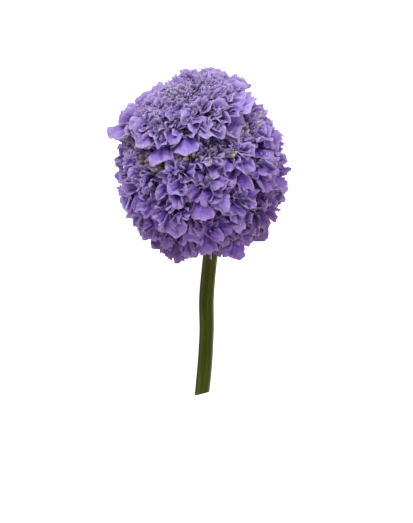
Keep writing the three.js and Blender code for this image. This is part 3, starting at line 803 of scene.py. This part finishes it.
def stamen_material():
    """Scabiosa stamens: smooth pale lilac filaments, with dusty greyish mauve anthers."""
    material, tree, (_, is_anther, _), where = new_material("stamen_filament_and_anther")
    dust = add(tree, "TexNoise", {"Vector": where, "Scale": 1 / (0.3 * MM), "Detail": 2.0})
    anther = add(tree, "ValToRGB", {0: dust}, stops=[(0.35, "#5f5078"), (0.65, "#8f82a0")])
    both = add(tree, "Mix", {0: is_anther, 6: colour("#8f7cba"), 7: anther}, data_type="RGBA")
    shader = add(tree, "BsdfPrincipled", {"Base Color": both.outputs[2], "Roughness": 0.65,
                                          "Subsurface Weight": 0.2, "Subsurface Scale": 0.3 * MM})
    add(tree, "OutputMaterial", {"Surface": shader})
    return material


def bud_material(name, stops):
    """Unopened scabiosa floret: matt and faintly downy, darker at its foot, each bud a little different.
    Bristles are dry and dark."""
    material, tree, (along, shade, is_bristle), where = new_material(name)
    body = add(tree, "ValToRGB", {0: along}, stops=stops)
    # Down that shows as patches 0.6 mm across.
    down = add(tree, "TexNoise", {"Vector": where, "Scale": 1 / (0.6 * MM), "Detail": 4.0})
    varied = mottled(tree, body, shade, (0.75, 1.2), down, (0.85, 1.12))
    both = add(tree, "Mix", {0: is_bristle, 6: varied, 7: colour("#241a28")}, data_type="RGBA")
    nap = add(tree, "Bump", {"Height": down, "Strength": 0.3, "Distance": 0.15 * MM})
    shader = add(tree, "BsdfPrincipled", {
        "Base Color": both.outputs[2], "Roughness": 0.75, "Normal": nap, "Sheen Weight": 0.2,
        "Subsurface Weight": 0.15, "Subsurface Scale": 0.5 * MM})
    add(tree, "OutputMaterial", {"Surface": shader})
    return material


def receptacle_material():
    """Scabiosa receptacle: flesh crowded with greenish calyx scales 1.2 mm across, coloured a deep plum as
    painted shade, the dark of the gaps between the florets where it shows.
    """
    material, tree, _, where = new_material("receptacle_scales")
    scales = add(tree, "TexVoronoi", {"Vector": where, "Scale": 1 / (1.2 * MM)})
    # The near-black plum between the scales is painted shade, for the gaps between florets where the
    # receptacle shows.
    scales_and_painted_shade = add(tree, "ValToRGB", {0: scales}, stops=[(0.1, "#4c4038"), (0.45, "#3c2352"), (0.8, "#291043")])
    relief = add(tree, "Bump", {"Height": scales, "Strength": 0.5, "Distance": 0.4 * MM}, invert=True)
    shader = add(tree, "BsdfPrincipled", {"Base Color": scales_and_painted_shade, "Roughness": 0.7, "Normal": relief})
    add(tree, "OutputMaterial", {"Surface": shader})
    return material


def bract_material():
    """Scabiosa bract: a herbaceous leaf, mid green with a paler midrib, downy, darker towards its tip."""
    material, tree, (along, middle, shade), where = new_material("leafy_bract")
    leaf = add(tree, "ValToRGB", {0: along}, stops=[(0.0, "#68722f"), (0.4, "#4d5a22"), (1.0, "#3a4618")])
    rib = add(tree, "MapRange", {"Value": middle, "From Min": 0.8, "To Max": 0.6})
    ribbed = add(tree, "Mix", {0: rib, 6: leaf, 7: colour("#848b52")}, data_type="RGBA")
    # Down that shows as patches 0.7 mm across.
    down = add(tree, "TexNoise", {"Vector": where, "Scale": 1 / (0.7 * MM), "Detail": 4.0})
    varied = mottled(tree, ribbed.outputs[2], shade, (0.85, 1.1), down, (0.8, 1.2), within=(0, 1))
    nap = add(tree, "Bump", {"Height": down, "Strength": 0.3, "Distance": 0.15 * MM})
    shader = add(tree, "BsdfPrincipled", {"Base Color": varied, "Roughness": 0.6, "Normal": nap,
                                          "Sheen Weight": 0.05})
    add(tree, "OutputMaterial", {"Surface": shader})
    return material


def stalk_material():
    """Scabiosa stalk: smooth waxy skin, dark olive with faint paler streaks along its ribs, each about
    2.3 mm wide, browner towards the head, and a pale, matt, spongy pith where it is cut."""
    material, tree, (along, around, pith), where = new_material("olive_stalk_skin")
    ribs = add(tree, "Math", {0: around, 1: STALK_RIBS * 2 * np.pi}, operation="MULTIPLY")
    crest = add(tree, "Math", {0: ribs}, operation="COSINE")
    # Streaks 1.6 mm wide, drawn out seventeen times as long.
    stretched = add(tree, "Mapping", {"Vector": where, "Scale": Vector((1, 0.06, 1))})
    streak = add(tree, "TexNoise", {"Vector": stretched, "Scale": 1 / (1.6 * MM), "Detail": 4.0})
    shift = add(tree, "Math", {0: crest, 1: 0.07, 2: streak}, operation="MULTIPLY_ADD")
    skin = add(tree, "ValToRGB", {0: shift}, stops=[
        (0.3, "#262c00"), (0.5, "#2a3100"), (0.62, "#303702"), (0.75, "#3b4206")])
    sunned = add(tree, "MapRange", {"Value": along, "From Min": 0.2, "From Max": 0.6, "To Min": 0.3,
                                    "To Max": 0.0})
    browned = add(tree, "Mix", {0: sunned, 6: skin, 7: colour("#402c06")}, data_type="RGBA")
    grain = add(tree, "TexNoise", {"Vector": where, "Scale": 1 / (0.35 * MM), "Detail": 2.0})
    cut = add(tree, "ValToRGB", {0: grain}, stops=[(0.3, "#5d6238"), (0.7, "#8d9161")])
    both = add(tree, "Mix", {0: pith, 6: browned.outputs[2], 7: cut}, data_type="RGBA")
    dull = add(tree, "MapRange", {"Value": pith, "To Min": 0.42, "To Max": 0.85})
    lines = add(tree, "Bump", {"Height": streak, "Strength": 0.25, "Distance": 0.2 * MM})
    shader = add(tree, "BsdfPrincipled", {
        "Base Color": both.outputs[2], "Roughness": dull, "IOR": 1.42, "Specular IOR Level": 0.1,
        "Normal": lines})
    add(tree, "OutputMaterial", {"Surface": shader})
    return material


# ---- The flower ----
petal = petal_material()
tiers = {name: place_florets(tier) for name, tier in TIERS.items()}
for name, florets in tiers.items():
    finish_piece(make_florets(name, florets, TIERS[name]["detail"]), petal,
                 replaced="florets" if name == "skirt_florets" else None)
doubled = join_florets([tiers[name] for name in DOUBLED])
finish_piece(make_florets("inner_whorls", inner_whorl(doubled), COARSE), petal)
stamens = make_piece("stamens", *together(stamen_parts(doubled)), closed=True)
finish_piece(stamens, stamen_material())

finish_piece(make_receptacle(), receptacle_material())
crown_bud = bud_material("lilac_grey_bud", [
    (0.0, "#2e2530"), (0.45, "#533f76"), (0.8, "#75629f"), (1.0, "#a1959c")])
waist_bud = bud_material("olive_grey_bud", [
    (0.0, "#4b4630"), (0.65, "#6b6348"), (0.88, "#857a66"), (1.0, "#9285a0")])
finish_piece(make_crown(), crown_bud, replaced="crown_buds")
finish_piece(make_waist_buds(), waist_bud)

leaf = bract_material()
finish_piece(make_bracts(), leaf, replaced="involucre")
finish_piece(make_bract_disc(), leaf)
finish_piece(make_stalk(), stalk_material(), replaced="stalk")


# ---- Table, light and camera ----
def make_table():
    """A plain white sweep of paper, a little lit from beneath so that it stays bright under the flower."""
    mesh = bpy.data.meshes.new("table")
    mesh.from_pydata([(-3, -3, 0), (3, -3, 0), (3, 3, 0), (-3, 3, 0)], [], [(0, 1, 2, 3)])
    table = add_object("table", mesh)
    material, tree, _, _ = new_material("white_paper")
    shader = add(tree, "BsdfPrincipled", {"Base Color": colour("#fbfbfb"), "Roughness": 0.9,
                                          "Emission Color": colour("#ffffff"), "Emission Strength": 0.6})
    add(tree, "OutputMaterial", {"Surface": shader})
    mesh.materials.append(material)


def add_softbox(name, position, target, size, watts):
    """A square area light, aimed at a point."""
    lamp = bpy.data.lights.new(name, "AREA")
    lamp.size = size
    lamp.energy = watts
    holder = add_object(name, lamp)
    holder.location = position
    holder.rotation_euler = (Vector(target) - Vector(position)).to_track_quat("-Z", "Y").to_euler()


make_table()
add_softbox("key_softbox", (-0.15, 0.65, 0.7), (0, 0.02, 0.03), 0.5, 8)
add_softbox("fill_softbox", (0.5, -0.3, 0.8), (0, 0.02, 0.03), 0.6, 4)
world = bpy.data.worlds.new("studio")
world.use_nodes = True
world.node_tree.nodes["Background"].inputs["Color"].default_value = colour("#ffffff")
world.node_tree.nodes["Background"].inputs["Strength"].default_value = 1.0
bpy.context.scene.world = world

# The camera looks straight down from 845 mm above the flower's middle height; its lens sets the framing.
camera_data = bpy.data.cameras.new("camera")
camera_data.lens = 135
camera_data.sensor_width = 36
camera = add_object("camera", camera_data)
camera.location = (0.0028, -0.0117, 0.881)
bpy.context.scene.camera = camera
bpy.context.scene.view_settings.view_transform = "Standard"
